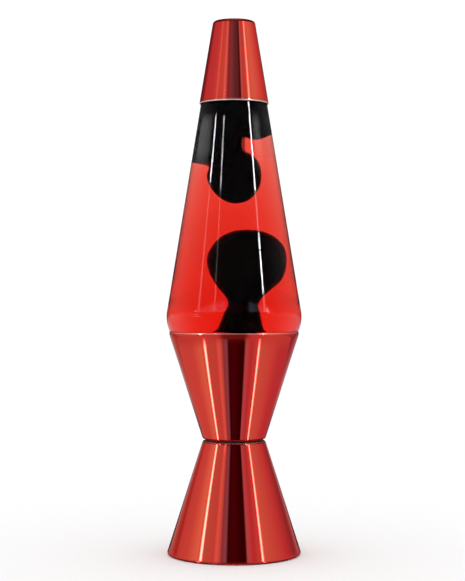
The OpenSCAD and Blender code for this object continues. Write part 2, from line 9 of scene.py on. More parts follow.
import bpy
import numpy as np
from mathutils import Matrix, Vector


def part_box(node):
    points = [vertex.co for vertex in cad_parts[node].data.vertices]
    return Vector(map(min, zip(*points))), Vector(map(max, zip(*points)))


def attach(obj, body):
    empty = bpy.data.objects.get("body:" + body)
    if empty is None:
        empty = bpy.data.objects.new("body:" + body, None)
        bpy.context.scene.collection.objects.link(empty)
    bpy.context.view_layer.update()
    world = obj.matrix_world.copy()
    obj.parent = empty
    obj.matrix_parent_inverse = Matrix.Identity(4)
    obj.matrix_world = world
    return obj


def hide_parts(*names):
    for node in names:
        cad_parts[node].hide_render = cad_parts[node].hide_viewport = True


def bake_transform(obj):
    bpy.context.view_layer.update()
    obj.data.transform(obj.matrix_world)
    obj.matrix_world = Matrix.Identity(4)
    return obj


bl_info = {
    "name": "Lava Lamp",
    "version": (1, 0, 0),
    "blender": (4, 5, 0),
    "location": "3D Viewport > Sidebar > Lava Lamp",
    "description": "Makes a lava lamp's metal, glass, liquid and wax, and finishes its fittings",
    "category": "Add Mesh",
}

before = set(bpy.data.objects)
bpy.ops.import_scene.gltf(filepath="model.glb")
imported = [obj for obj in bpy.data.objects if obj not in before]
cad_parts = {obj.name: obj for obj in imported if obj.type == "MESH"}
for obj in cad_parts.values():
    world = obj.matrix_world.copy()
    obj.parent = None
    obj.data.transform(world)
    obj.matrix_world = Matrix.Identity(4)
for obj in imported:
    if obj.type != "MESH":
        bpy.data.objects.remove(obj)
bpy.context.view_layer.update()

MM = 0.001
TURN = 2 * math.pi
ROUND = 256  # faces round a piece that is turned about the axis
GLASS_IOR = 1.46
LIQUID_IOR = 1.333
WAX_IOR = 1.06  # the wax's over the liquid's
CONE_SLOPE = 0.32  # radius lost for each unit of height, near enough, up the lower cone's wall
SHARP = 0.1 * MM  # rounding of an edge that is left sharp
GLASS_STEP = 8 * MM  # longest step between points along the globe's and the liquid's outline
WAX_ROUND = (128, 160)  # faces round the column of wax and round the canopy
FLAT_R = 17 * MM  # how far out the canopy's flat side may reach
BELLY_H = 14 * MM  # how far above the lip the globe's outside keeps the duller gleam
DIM = (0.45, 0.45, 0.45)  # tone of the surroundings that reflections meet past the tent
STRIP_SOFT = 4 * MM  # how gradually a strip ends, at its top and bottom
STRIP_SIDES = (0.7, 1.3)  # where a strip's side starts and stops fading, in half widths
FLOOR_REACH = 6.0  # half the floor's width


def level(node, top):
    """The lowest or highest level of a CAD node."""
    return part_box(node)[1 if top else 0].z


def half_width(node):
    """Half of a CAD node's width."""
    low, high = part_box(node)
    return (high.x - low.x) / 2


# ---- Sizes and colours that a user may change ----


def length(name, description, millimetres):
    """A size property, given here in millimetres."""
    return bpy.props.FloatProperty(
        name=name, description=description, default=millimetres * MM, unit="LENGTH", precision=5
    )


def number(name, description, default):
    """A plain number property."""
    return bpy.props.FloatProperty(name=name, description=description, default=default, precision=4)


def colour(name, description, default):
    """A colour property, in linear red, green and blue."""
    return bpy.props.FloatVectorProperty(
        name=name, description=description, subtype="COLOR", size=3, default=default
    )


class LampMetal(bpy.types.PropertyGroup):
    """Sizes and colour of the spun metal."""

    tint: colour("Lacquer", "Colour of the lacquered metal", (0.95, 0.07, 0.05))
    wall: length("Wall", "Thickness of the spun sheet", 0.8)
    waist_r: length("Waist radius", "Outer radius of both cones where they meet", 21.6)
    waist_edge: length("Waist edge", "Rounding of each cone's edge at the waist", 1.6)
    hole_r: length("Hole radius", "Radius of the holes that the lampholder passes through", 13.5)
    lip_bend: length("Lip bend", "Radius of the bend that turns the upper cone upright", 8)
    lip_bead: length("Lip bead", "Radius of the bead round the lip", 0.5)
    base_bead: length("Base bead", "Radius of the bead under the lower cone", 1.2)
    cap_wall: length("Cap wall", "Thickness of the cap", 0.65)
    cap_taper: number("Cap taper", "Radius lost for each unit of height up the cap", 0.1675)
    cap_edge: length("Cap edge", "Rounding of the cap's top edge", 2.2)


class LampGlass(bpy.types.PropertyGroup):
    """Sizes of the globe, and the colour of what fills it."""

    taper: number("Taper", "Radius lost for each unit of height up the glass", 0.1635)
    rim_gap: length("Gap under the cap", "Gap between the cap's rim and the glass", 0.45)
    under_slope: number("Under slope", "Radius gained for each unit of height under the belly", 0.33)
    belly_round: length("Belly", "Radius of the round belly above the lip", 22)
    seat_inset: length("Seat inset", "How far the glass's corner lies inside the lip's outside", 0.2)
    ledge: length("Ledge", "Width of the ledge that rests on the lip", 1.4)
    ledge_gap: length("Ledge gap", "Gap between the ledge and the lip", 0.3)
    heel_round: length("Heel", "Rounding of the globe's heel", 5)
    wall: length("Wall", "Thickness of the glass", 2.5)
    punt: length("Punt", "Height of the push-up under the globe", 3)
    neck_r: length("Neck radius", "Outer radius of the neck", 12.4)
    hidden_taper: length("Hidden taper", "Height of the tapered glass inside the cap", 26)
    ring_r: length("Ring radius", "Outer radius of the ring that the crown grips", 13.3)
    ring_h: length("Ring height", "Height of that ring", 4)
    wetting: length("Wetting", "How far the liquid's surface reaches into the glass's wall", 0.15)
    absorption: number("Absorption", "Density of the liquid's dye, for each metre", 62)
    dye: colour("Dye", "Colour that the dye lets through", (0.95, 0.13, 0.0))


class LampWax(bpy.types.PropertyGroup):
    """The wax's finish."""

    tint: colour("Wax", "Colour of the wax", (0.0012, 0.0012, 0.0014))
    film: length("Film", "Liquid between the wax and the glass", 0.4)


class LampStudio(bpy.types.PropertyGroup):
    """The camera, the light and the floor."""

    distance: length("Distance", "From the lamp's axis to the camera", 1038)
    height: length("Height", "Height of the camera above the table", 182.1)
    aside: length("Aside", "How far the camera stands to the left of the axis", 1.07)
    lens: number("Lens", "Focal length of the camera, for a sensor 36 high", 92.94)
    daylight: number("Daylight", "Brightness of the white surroundings", 1.04)
    tent_r: length("Tent radius", "Radius of the tent that the metal reflects", 400)


# ---- Meshes ----


def unit(vector):
    """The vector at length one."""
    return vector / np.linalg.norm(vector)


def outline(corners, closed=False, step=math.radians(4)):
    """A line through corners (radius, height, rounding). Each rounded corner becomes the arc that
    touches both of its sides, with its centre on the line that halves the corner."""
    places = np.array([corner[:2] for corner in corners], float)
    parts = []
    for i, (_, _, rounding) in enumerate(corners):
        here = places[i]
        if rounding == 0 or (not closed and i in (0, len(corners) - 1)):
            parts.append(here[None])
            continue
        back = unit(places[i - 1] - here)
        on = unit(places[(i + 1) % len(corners)] - here)
        half = math.acos(float(np.clip(back @ on, -1, 1))) / 2
        centre = here + unit(back + on) * rounding / math.sin(half)
        first = here + back * rounding / math.tan(half) - centre
        last = here + on * rounding / math.tan(half) - centre
        start = math.atan2(first[1], first[0])
        turn = (math.atan2(last[1], last[0]) - start + math.pi) % TURN - math.pi
        angle = start + turn * np.linspace(0, 1, max(6, math.ceil(abs(turn) / step)) + 1)
        parts.append(centre + rounding * np.stack([np.cos(angle), np.sin(angle)], 1))
    return np.concatenate(parts)


def guarded(path, closed=False, guard=0.25 * MM, longest=6 * MM):
    """The same line with more points: two inside both ends of each long straight, so that a round
    edge's shading and wear stay at the edge, and even steps between them."""
    ends = np.concatenate([path, path[:1]]) if closed else path
    parts = []
    for here, there in zip(ends[:-1], ends[1:]):
        span = np.linalg.norm(there - here)
        share = [0.0]
        if span > 4 * guard:
            share += [guard / span, 1 - guard / span]
        if span > 20 * guard:
            first, steps = 5 * guard / span, math.ceil(span / longest)
            share += list(np.linspace(first, 1 - first, steps + 1))
        share.sort()
        parts.append(here + np.array(share)[:, None] * (there - here))
    return np.concatenate(parts + ([] if closed else [ends[-1:]]))


def beside(path, distance):
    """The line moved sideways by distance, to the left of its direction, with mitred corners."""
    step = np.diff(path, axis=0)
    step /= np.linalg.norm(step, axis=1)[:, None]
    left = np.stack([-step[:, 1], step[:, 0]], 1)
    before, after = np.concatenate([left[:1], left]), np.concatenate([left, left[-1:]])
    mitre = before + after
    mitre /= np.linalg.norm(mitre, axis=1)[:, None]
    return path + mitre * distance / np.sum(mitre * after, axis=1)[:, None]


def smooth_line(places, steps=8):
    """A Catmull-Rom curve: between two places, each coordinate is the cubic whose slope at a place
    is half of the way from the place before it to the place after it."""
    places = np.asarray(places, float)
    ends = np.concatenate([places[:1], places, places[-1:]])
    a, b, c, d = (ends[i : len(places) - 1 + i, None] for i in range(4))
    t = (np.arange(steps) / steps)[None, :, None]
    curve = 0.5 * (
        2 * b + (c - a) * t + (2 * a - 5 * b + 4 * c - d) * t**2 + (3 * b - a - 3 * c + d) * t**3
    )
    return np.concatenate([curve.reshape(-1, places.shape[1]), places[-1:]])


def sheet_mesh(name, grid, rows_close=False, columns_close=True):
    """A mesh of the four-sided faces between neighbours of a grid of points, rows by columns. A
    first or last row whose points all coincide becomes one point with a fan of triangles."""
    rows, columns = grid.shape[:2]
    ids = np.arange(rows * columns).reshape(rows, columns)
    points = grid.reshape(-1, 3)
    for row in (0, rows - 1):
        if not rows_close and np.ptp(grid[row], axis=0).max() < 1e-9:
            ids[row] = ids[row, 0]
    if rows_close:
        ids = np.concatenate([ids, ids[:1]])
    if columns_close:
        ids = np.concatenate([ids, ids[:, :1]], axis=1)
    faces = np.stack([ids[:-1, :-1], ids[:-1, 1:], ids[1:, 1:], ids[1:, :-1]], -1).reshape(-1, 4)
    used, where = np.unique(faces, return_inverse=True)
    faces = where.reshape(faces.shape)
    corners = [tuple(dict.fromkeys(face)) for face in faces.tolist()]
    mesh = bpy.data.meshes.new(name)
    mesh.from_pydata(points[used].tolist(), [], [face for face in corners if len(face) > 2])
    mesh.polygons.foreach_set("use_smooth", np.ones(len(mesh.polygons), bool))
    mesh.update()
    return mesh


def turned(name, path, closed=False):
    """A profile of radii and heights turned about the axis: a point's x and y are its radius times
    the cosine and the sine of the angle. The profile is taken the way round that makes the faces
    point outwards."""
    r, z = path.T
    area = np.sum(r * np.roll(z, -1) - np.roll(r, -1) * z)
    if area < 0:
        r, z = r[::-1], z[::-1]
    angle = np.linspace(0, TURN, ROUND, endpoint=False)[None]
    r, z = r[:, None], z[:, None] + 0 * angle
    grid = np.stack([r * np.cos(angle), r * np.sin(angle), z], -1)
    return sheet_mesh(name, grid, rows_close=closed)


def wear(mesh, edges):
    """Marks edges where the lacquer is rubbed thin, and where a painted highlight lies along the rims,
    in the attribute that the lacquer reads: for each edge (radius, height, reach, amount), the amount
    times e to the power of minus the square of distance over reach."""
    co = np.empty(len(mesh.vertices) * 3)
    mesh.vertices.foreach_get("co", co)
    x, y, z = co.reshape(-1, 3).T
    worn_and_highlit = np.zeros(len(x))
    for radius, height, reach, amount in edges:
        distance = np.hypot(np.hypot(x, y) - radius, z - height)
        worn_and_highlit = np.maximum(worn_and_highlit, amount * np.exp(-((distance / reach) ** 2)))
    # Edges painted pale: rubbed lacquer, and also a painted highlight along the rims.
    mesh.attributes.new("wear", "FLOAT", "POINT").data.foreach_set("value", worn_and_highlit)
    return mesh


def piece(mesh, body, finish, replaces=()):
    """An object of a mesh that rides on a body, has a finish and stands for CAD nodes."""
    thing = bpy.data.objects.new(mesh.name, mesh)
    bpy.context.scene.collection.objects.link(thing)
    mesh.materials.append(finish)
    if body:
        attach(thing, body)
    if replaces:
        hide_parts(*replaces)
    return thing


def dress(node, finish):
    """Gives a CAD node its finish."""
    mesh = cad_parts[node].data
    mesh.materials.clear()
    mesh.materials.append(finish)


# ---- Finishes ----


class Value:
    """The output of a shader node. Sums on it add Math nodes."""

    def __init__(self, shader, socket):
        self.shader = shader
        self.socket = socket

    def sum(self, operation, *terms):
        """A Math node of this kind on these terms."""
        return self.shader.add("ShaderNodeMath", {"operation": operation}, dict(enumerate(terms)))

    def __add__(self, other):
        return self.sum("ADD", self, other)

    def __sub__(self, other):
        return self.sum("SUBTRACT", self, other)

    def __rsub__(self, other):
        return self.sum("SUBTRACT", other, self)

    def __truediv__(self, other):
        return self.sum("DIVIDE", self, other)

    def __mul__(self, other):
        return self.sum("MULTIPLY", self, other)

    __radd__ = __add__
    __rmul__ = __mul__


class Shader:
    """Builds the node tree of a material or a world."""

    def __init__(self, owner):
        owner.use_nodes = True
        self.tree = owner.node_tree
        self.tree.nodes.clear()

    def add(self, kind, options=None, inputs=None, output=0):
        """Adds a node: its options first, then the values or links of its sockets."""
        node = self.tree.nodes.new(kind)
        for key, value in (options or {}).items():
            if key == "stops":
                set_stops(node.color_ramp, value)
            else:
                setattr(node, key, value)
        for key, value in (inputs or {}).items():
            if isinstance(value, Value):
                self.tree.links.new(value.socket, node.inputs[key])
            else:
                node.inputs[key].default_value = value
        return Value(self, node.outputs[output]) if node.outputs else None

    def place(self):
        """Object coordinates."""
        return self.add("ShaderNodeTexCoord", output="Object")

    def parts(self, vector):
        """The three parts of a vector."""
        split = self.add("ShaderNodeSeparateXYZ", inputs={"Vector": vector})
        return [Value(self, socket) for socket in split.socket.node.outputs]

    def step(self, value, low, high):
        """0 below low and 1 above high, and smooth between them."""
        limits = {"Value": value, "From Min": low, "From Max": high}
        return self.add("ShaderNodeMapRange", {"interpolation_type": "SMOOTHSTEP"}, limits)

    def ramp(self, place, stops):
        """A colour ramp through stops of a place and a tone."""
        return self.add("ShaderNodeValToRGB", {"stops": stops}, {"Fac": place})

    def noise(self, scale, detail=3.0, stretch=(1, 1, 1)):
        """A noise between 0 and 1, with its pattern stretched along the axes."""
        spread = self.add("ShaderNodeMapping", inputs={"Vector": self.place(), "Scale": stretch})
        return self.add("ShaderNodeTexNoise", inputs={"Vector": spread, "Scale": scale, "Detail": detail})

    def mix(self, factor, first, second):
        """A colour between two colours."""
        colours = {0: factor, 6: rgba(first), 7: rgba(second)}
        return self.add("ShaderNodeMix", {"data_type": "RGBA"}, colours, output=2)

    def bump(self, height, distance):
        """A normal from a height of 0 to 1 times a distance."""
        inputs = {"Height": height, "Distance": distance, "Strength": 1.0}
        return self.add("ShaderNodeBump", inputs=inputs)

    def principled(self, **inputs):
        """The main shader."""
        named = {key.replace("_", " "): rgba(value) for key, value in inputs.items()}
        return self.add("ShaderNodeBsdfPrincipled", inputs=named)

    def finish(self, surface, volume=None, kind="ShaderNodeOutputMaterial"):
        """Joins the surface and the volume to the output."""
        inputs = {"Surface": surface}
        if volume:
            inputs["Volume"] = volume
        self.add(kind, inputs=inputs)


def rgba(value):
    """A colour with its alpha, and anything else as it is."""
    if isinstance(value, Value) or np.isscalar(value) or len(value) != 3:
        return value
    return (*value, 1.0)


def set_stops(ramp, stops):
    """Sets a ramp's stops, each a position and a colour."""
    while len(ramp.elements) > 1:
        ramp.elements.remove(ramp.elements[-1])
    ramp.elements[0].position = stops[0][0]
    ramp.elements[0].color = rgba(stops[0][1])
    for position, tone in stops[1:]:
        ramp.elements.new(position).color = rgba(tone)


FINISHES = {}


def new_finish(name):
    """A new material, kept under its name, and the shader that fills it."""
    FINISHES[name] = bpy.data.materials.new(name + "_finish")
    return FINISHES[name], Shader(FINISHES[name])


def scaled(tone, factor):
    """A colour made lighter or darker."""
    return tuple(min(1.0, part * factor) for part in tone)


def lacquered_metal(tint):
    """Mirror-bright spun aluminium under clear red lacquer, with the faint rings that spinning
    leaves, a slow drift in the lacquer's depth, and pale, dull edges where the lacquer is rubbed thin;
    along the rims this pale colour is also a painted highlight."""
    finish, shader = new_finish("lacquered_metal")
    drift = shader.noise(18.0, detail=2.0)
    rings = shader.noise(900.0, detail=2.0, stretch=(0.02, 0.02, 1))
    smears = shader.noise(60.0, detail=4.0)
    chips = shader.noise(260.0, detail=3.0)
    # Pale, less metallic edges from the edge attribute: rubbed lacquer, and also a painted highlight
    # along the rims.
    worn_and_highlit = shader.add("ShaderNodeAttribute", {"attribute_name": "wear"}, output="Fac")
    worn_and_highlit = worn_and_highlit * (chips * 0.5 + 0.75)
    lacquer = shader.mix(drift, scaled(tint, 0.96), scaled(tint, 1.04))
    shader.finish(
        shader.principled(
            Base_Color=shader.mix(worn_and_highlit, lacquer, (1.0, 0.86, 0.78)),
            Metallic=1 - worn_and_highlit * 0.85,
            Roughness=0.03 + smears * 0.03 + worn_and_highlit * 0.3,
            Specular_Tint=(1.0, 0.62, 0.6),
            Normal=shader.bump(rings, 0.0006 * MM),
        )
    )
    return finish


def bare_metal(name, tint, roughness):
    """A bare metal, its colour and polish uneven along its grain."""
    finish, shader = new_finish(name)
    lines = shader.noise(400.0)
    patches = shader.noise(90.0)
    shader.finish(
        shader.principled(
            Base_Color=shader.mix(patches, scaled(tint, 0.82), scaled(tint, 1.12)),
            Metallic=1.0,
            Roughness=roughness * 0.7 + lines * roughness * 0.6,
            Normal=shader.bump(lines, 0.004 * MM),
        )
    )
    return finish


def moulded(name, tint, roughness, grain=900.0):
    """A moulded plastic, rubber or fibre with a fine grain."""
    finish, shader = new_finish(name)
    texture = shader.noise(grain, detail=2.0)
    patches = shader.noise(70.0)
    shader.finish(
        shader.principled(
            Base_Color=shader.mix(patches, scaled(tint, 0.8), scaled(tint, 1.25)),
            Roughness=roughness * 0.85 + texture * roughness * 0.3,
            Normal=shader.bump(texture, 0.02 * MM),
        )
    )
    return finish


def clear_glass(name, gleam=1.0, tint=(1, 1, 1)):
    """Blown glass: clear, with a slow ripple left by blowing. Gleam is the share that its face
    reflects of what bare glass does, which is next to none where a liquid wets it."""
    finish, shader = new_finish(name)
    waves = shader.noise(24.0, detail=1.0, stretch=(1, 1, 0.35))
    shader.finish(
        shader.principled(
            Base_Color=shader.mix(waves, tint, scaled(tint, 0.985)),
            Roughness=0.0,
            IOR=GLASS_IOR,
            Specular_Tint=(gleam, gleam, gleam),
            Transmission_Weight=1.0,
            Normal=shader.bump(waves, 0.0015 * MM),
        )
    )
    return finish


def dyed_liquid(dye, density):
    """A clear liquid whose dye darkens it with depth. The wall that it wets hardly reflects."""
    finish, shader = new_finish("dyed_liquid")
    clouds = shader.noise(14.0, detail=2.0)
    surface = shader.principled(
        Base_Color=shader.mix(clouds, (1, 1, 1), (1.0, 0.98, 0.97)),
        Roughness=0.0,
        IOR=LIQUID_IOR,
        Specular_Tint=(0.03, 0.03, 0.03),
        Transmission_Weight=1.0,
    )
    volume = shader.add("ShaderNodeVolumeAbsorption", inputs={"Color": rgba(dye), "Density": density})
    shader.finish(surface, volume)
    return finish


def wax_finish(tint):
    """Soft black wax, a little uneven. Its index is taken against the liquid's, which wets it."""
    finish, shader = new_finish("black_wax")
    dimples = shader.noise(120.0, detail=2.0)
    shader.finish(
        shader.principled(
            Base_Color=shader.mix(dimples, tint, scaled(tint, 1.6)),
            Roughness=0.16 + dimples * 0.08,
            IOR=WAX_IOR,
            Normal=shader.bump(dimples, 0.04 * MM),
        )
    )
    return finish


# ---- Sizes that several pieces share ----


def slanted_wall(metal):
    """The cones' wall, measured level."""
    return metal.wall / math.cos(math.atan(CONE_SLOPE))


def glass_radius(lamp, z):
    """Outer radius of the tapered glass at a height."""
    rim_z = level("cap", False)
    rim_r = half_width("cap") - (lamp.metal.cap_wall + lamp.glass.rim_gap) / math.cos(
        math.atan(lamp.glass.taper)
    )
    return rim_r + lamp.glass.taper * (rim_z - z)


def globe_outline(lamp, ledge=True):
    """The globe's outside: from the push-up over the heel, ledge and belly, up the taper to the
    mouth. The line that its inside runs beside has no ledge."""
    glass = lamp.glass
    foot_z, mouth_z = level("globe_glass", False), level("globe_glass", True)
    lip_z = level("upper_cone", True)
    ledge_z = lip_z + glass.ledge_gap
    corner_r = half_width("upper_cone") - glass.seat_inset
    belly_z = ledge_z + (glass_radius(lamp, ledge_z) - corner_r) / (glass.taper + glass.under_slope)
    side_r = corner_r - glass.ledge
    heel_r = side_r - glass.under_slope * (lip_z - foot_z)
    shoulder_z = level("cap", False) + glass.hidden_taper
    step = [(side_r, ledge_z, 0.6 * MM), (corner_r, ledge_z, 0.5 * MM)]
    return outline(
        [
            (0, foot_z + glass.punt, 0),
            (heel_r * 0.5, foot_z + glass.punt, 20 * MM),
            (heel_r * 0.84, foot_z, 3 * MM),
            (heel_r, foot_z, glass.heel_round),
            *(step if ledge else []),
            (glass_radius(lamp, belly_z), belly_z, glass.belly_round),
            (glass_radius(lamp, shoulder_z), shoulder_z, 6 * MM),
            (glass.neck_r, shoulder_z + 5 * MM, 3 * MM),
            (glass.neck_r, mouth_z, 0),
        ]
    )


def settings():
    """The lamp's properties."""
    return bpy.context.scene.lava_lamp


# ---- Operators ----


class LAMP_OT_cones(bpy.types.Operator):
    """Make the two spun cones of the base"""

    bl_idname = "lava_lamp.cones"
    bl_label = "Base cones"

    def execute(self, context):
        metal = settings().metal
        self.lower(metal)
        self.upper(metal)
        return {"FINISHED"}

    def lower(self, metal):
        """The lower cone: from the hole in its top, inside, down the wall to the rolled bead and
        up the outside. Straight walls meet in arcs, and the whole is turned about the axis."""
        top_z, low_z = level("lower_cone", True), level("lower_cone", False)
        base_r = half_width("lower_cone")
        bead = 2 * metal.base_bead
        inside = slanted_wall(metal)
        shell = outline(
            [
                (metal.hole_r, top_z, SHARP),
                (metal.hole_r, top_z - metal.wall, SHARP),
                (metal.waist_r - inside, top_z - metal.wall, metal.waist_edge - metal.wall),
                (base_r - inside - bead * CONE_SLOPE, low_z + bead, 2 * SHARP),
                (base_r - bead * 1.1, low_z + bead, 5 * SHARP),
                (base_r - bead, low_z, metal.base_bead * 0.9),
                (base_r, low_z, metal.base_bead * 0.95),
                (metal.waist_r, top_z, metal.waist_edge),
            ],
            closed=True,
        )
        mesh = turned("lower_cone_shell", guarded(shell, closed=True), closed=True)
        # The waist edge painted pale: rubbed lacquer, and a painted highlight.
        wear(mesh, [(metal.waist_r - 0.4 * MM, top_z - 0.4 * MM, 0.5 * MM, 0.35)])
        piece(mesh, "base", FINISHES["lacquered_metal"], ["lower_cone"])

    def upper(self, metal):
        """The upper cone: from the hole in its floor, up the outside to the bend and the beaded
        lip, and down the inside. It is made as the lower one is."""
        floor_z, lip_z = level("upper_cone", False), level("upper_cone", True)
        lip_r = half_width("upper_cone")
        bead = 2 * metal.lip_bead
        inside = slanted_wall(metal)
        lean = math.atan((lip_r - metal.waist_r) / (lip_z - floor_z))
        bend_z = lip_z - bead - metal.lip_bend * math.tan(lean / 2)
        bead_round = metal.lip_bead * 0.96
        shell = outline(
            [
                (metal.hole_r, floor_z, SHARP),
                (metal.waist_r, floor_z, metal.waist_edge),
                (lip_r, bend_z, metal.lip_bend),
                (lip_r, lip_z, bead_round),
                (lip_r - bead, lip_z, bead_round),
                (lip_r - bead, lip_z - bead, SHARP),
                (lip_r - metal.wall, lip_z - bead * 1.3, SHARP),
                (lip_r - metal.wall, bend_z, metal.lip_bend - metal.wall),
                (metal.waist_r - inside, floor_z + metal.wall, metal.waist_edge - metal.wall),
                (metal.hole_r, floor_z + metal.wall, SHARP),
            ],
            closed=True,
        )
        mesh = turned("upper_cone_shell", guarded(shell, closed=True), closed=True)
        # The lip's bead painted pale: rubbed lacquer, and a painted highlight.
        wear(mesh, [(lip_r, lip_z - 0.3 * MM, 0.4 * MM, 0.45)])
        piece(mesh, "base", FINISHES["lacquered_metal"], ["upper_cone"])


class LAMP_OT_cap(bpy.types.Operator):
    """Make the spun cap"""

    bl_idname = "lava_lamp.cap"
    bl_label = "Cap"

    def execute(self, context):
        """The cap: across its top, down the slanted outside, round the rim and back inside."""
        metal = settings().metal
        rim_r, rim_z, top_z = half_width("cap"), level("cap", False), level("cap", True)
        top_r = rim_r - metal.cap_taper * (top_z - rim_z)
        inside = metal.cap_wall / math.cos(math.atan(metal.cap_taper))
        shell = outline(
            [
                (0, top_z, 0),
                (top_r, top_z, metal.cap_edge),
                (rim_r, rim_z, metal.cap_wall * 0.45),
                (rim_r - inside, rim_z, metal.cap_wall * 0.45),
                (top_r - inside, top_z - metal.cap_wall, metal.cap_edge - metal.cap_wall),
                (0, top_z - metal.cap_wall, 0),
            ]
        )
        mesh = turned("cap_shell", guarded(shell))
        # The cap's rim painted pale: rubbed lacquer, and a painted highlight line.
        wear(mesh, [(rim_r, rim_z, 0.55 * MM, 1.0)])
        piece(mesh, "cap", FINISHES["lacquered_metal"], ["cap"])
        return {"FINISHED"}


class LAMP_OT_globe(bpy.types.Operator):
    """Make the glass globe and the liquid in it"""

    bl_idname = "lava_lamp.globe"
    bl_label = "Globe and liquid"

    def execute(self, context):
        """The globe: up its outline and round the mouth's ring, and down a line that runs beside
        the outline by the wall's thickness. The liquid: the same line a little further out, closed
        by a meniscus. Both are turned about the axis."""
        lamp = settings()
        glass = lamp.glass
        outside = globe_outline(lamp)
        plain = globe_outline(lamp, ledge=False)
        inner = beside(plain, glass.wall)
        inner[0, 0] = 0
        mouth_z = level("globe_glass", True)
        ring = outline(
            [
                (glass.neck_r, mouth_z - glass.ring_h - 1 * MM, 0),
                (glass.ring_r, mouth_z - glass.ring_h, 1 * MM),
                (glass.ring_r, mouth_z, 1 * MM),
                (glass.neck_r - glass.wall, mouth_z, 1 * MM),
                (glass.neck_r - glass.wall, mouth_z - 2 * glass.ring_h, 0),
            ]
        )
        dry = guarded(np.concatenate([outside[:-1], ring]), longest=GLASS_STEP)
        wet = guarded(inner[::-1], longest=GLASS_STEP)
        mesh = turned("globe_shell", np.concatenate([dry, wet]))
        piece(mesh, "globe", FINISHES["globe_glass"], ["globe_glass"])
        mesh.materials.append(FINISHES["wetted_glass"])
        rows = np.arange(len(mesh.polygons)) // ROUND
        low = np.sum(dry[:, 1] < level("upper_cone", True) + BELLY_H)
        wetted = (rows < low) | (rows >= len(dry))
        mesh.polygons.foreach_set("material_index", wetted.astype(np.int32))

        fill_z = level("liquid", True)
        wet = beside(plain, glass.wall - glass.wetting)
        wet[0, 0] = 0
        wet_r = wet[-1, 0]
        meniscus = [(wet_r, fill_z), (wet_r - 1 * MM, fill_z - 0.7 * MM), (0, fill_z - 1 * MM)]
        body = np.concatenate([wet[:-1], smooth_line(meniscus, 6)])
        mesh = turned("liquid_body", guarded(body, longest=GLASS_STEP))
        piece(mesh, "globe", FINISHES["dyed_liquid"], ["liquid"])
        return {"FINISHED"}


